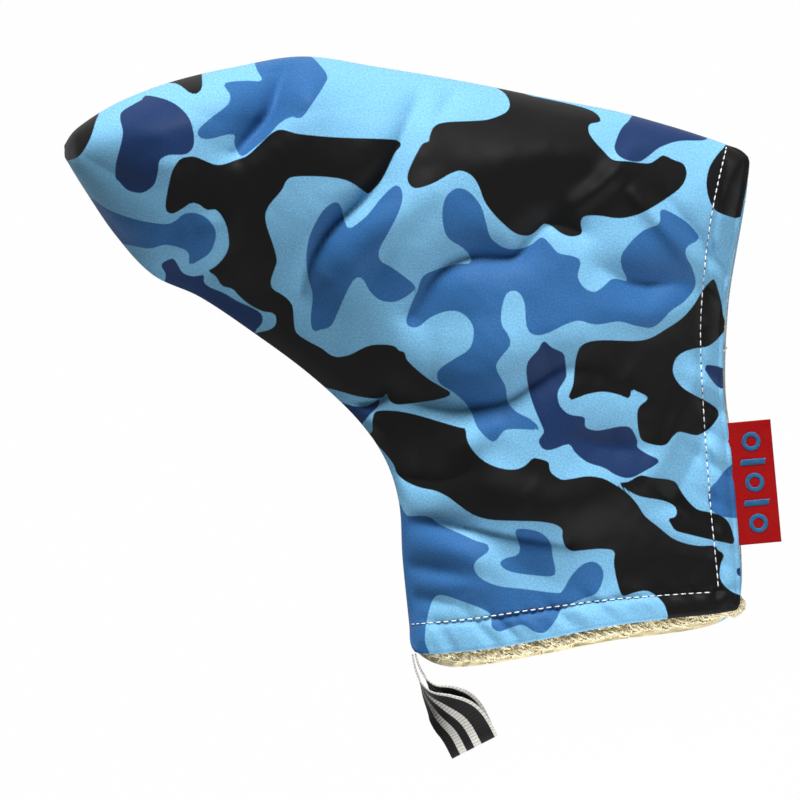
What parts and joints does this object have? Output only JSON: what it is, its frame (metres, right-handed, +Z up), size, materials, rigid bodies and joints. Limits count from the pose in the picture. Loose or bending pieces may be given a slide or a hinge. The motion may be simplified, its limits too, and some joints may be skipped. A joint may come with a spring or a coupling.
{
  "type": "putter head cover",
  "caption": "Padded boot-shaped fabric cover for a blade putter head, with a fold-open corner, curly pile lining, side label and striped ribbon loop.",
  "frame": {"origin": "on the table under the middle of the cover's box, with the cover lying on its back panel", "axes": "+X from the toe to the opening's side hem, +Y from the bottom hem to the top seam, +Z up from the table, out of the front panel"},
  "size_m": [0.2102, 0.2059, 0.0421],
  "materials": {
    "shell": "camouflage-printed satin twill, light blue ground",
    "wadding": "thin white polyester wadding",
    "pile_lining": "cream curly pile",
    "seam_thread": "dark blue sewing thread",
    "topstitch_thread": "white sewing thread",
    "hook_tape": "black hook tape",
    "loop_tape": "black loop tape",
    "ribbon": "black and off-white striped grosgrain",
    "label_tape": "red woven satin tape",
    "label_thread": "blue embroidery thread"
  },
  "bodies": {
    "pocket": {"back_shell": "shell", "back_padding": "wadding", "back_lining": "pile_lining", "front_shell": "shell", "front_padding": "wadding", "front_lining": "pile_lining", "perimeter_seam": "seam_thread", "pocket_stitching": "topstitch_thread", "loop_strip": "loop_tape"},
    "flap": {"flap_shell": "shell", "flap_padding": "wadding", "flap_lining": "pile_lining", "flap_stitching": "topstitch_thread", "hook_strip": "hook_tape"},
    "label": {"label_tab": "label_tape", "label_motif": "label_thread"},
    "ribbon": {"ribbon_loop": "ribbon"}
  },
  "joints": [
    {"name": "flap_fold", "type": "hinge", "parent": "pocket", "child": "flap", "pos_m": [0.0549, -0.0195, 0.0295], "axis": [-0.5516, -0.8341, 0], "range_deg": [0, 100]},
    {"name": "label_fold", "type": "hinge", "parent": "flap", "child": "label", "pos_m": [0.0912, -0.0232, 0.0145], "axis": [0.0907, -0.9959, 0], "range_deg": [0, 90]},
    {"name": "ribbon_swing", "type": "hinge", "parent": "pocket", "child": "ribbon", "pos_m": [-0.0024, -0.0726, 0.008], "axis": [0, 0, 1], "range_deg": [-70, 5]}
  ]
}
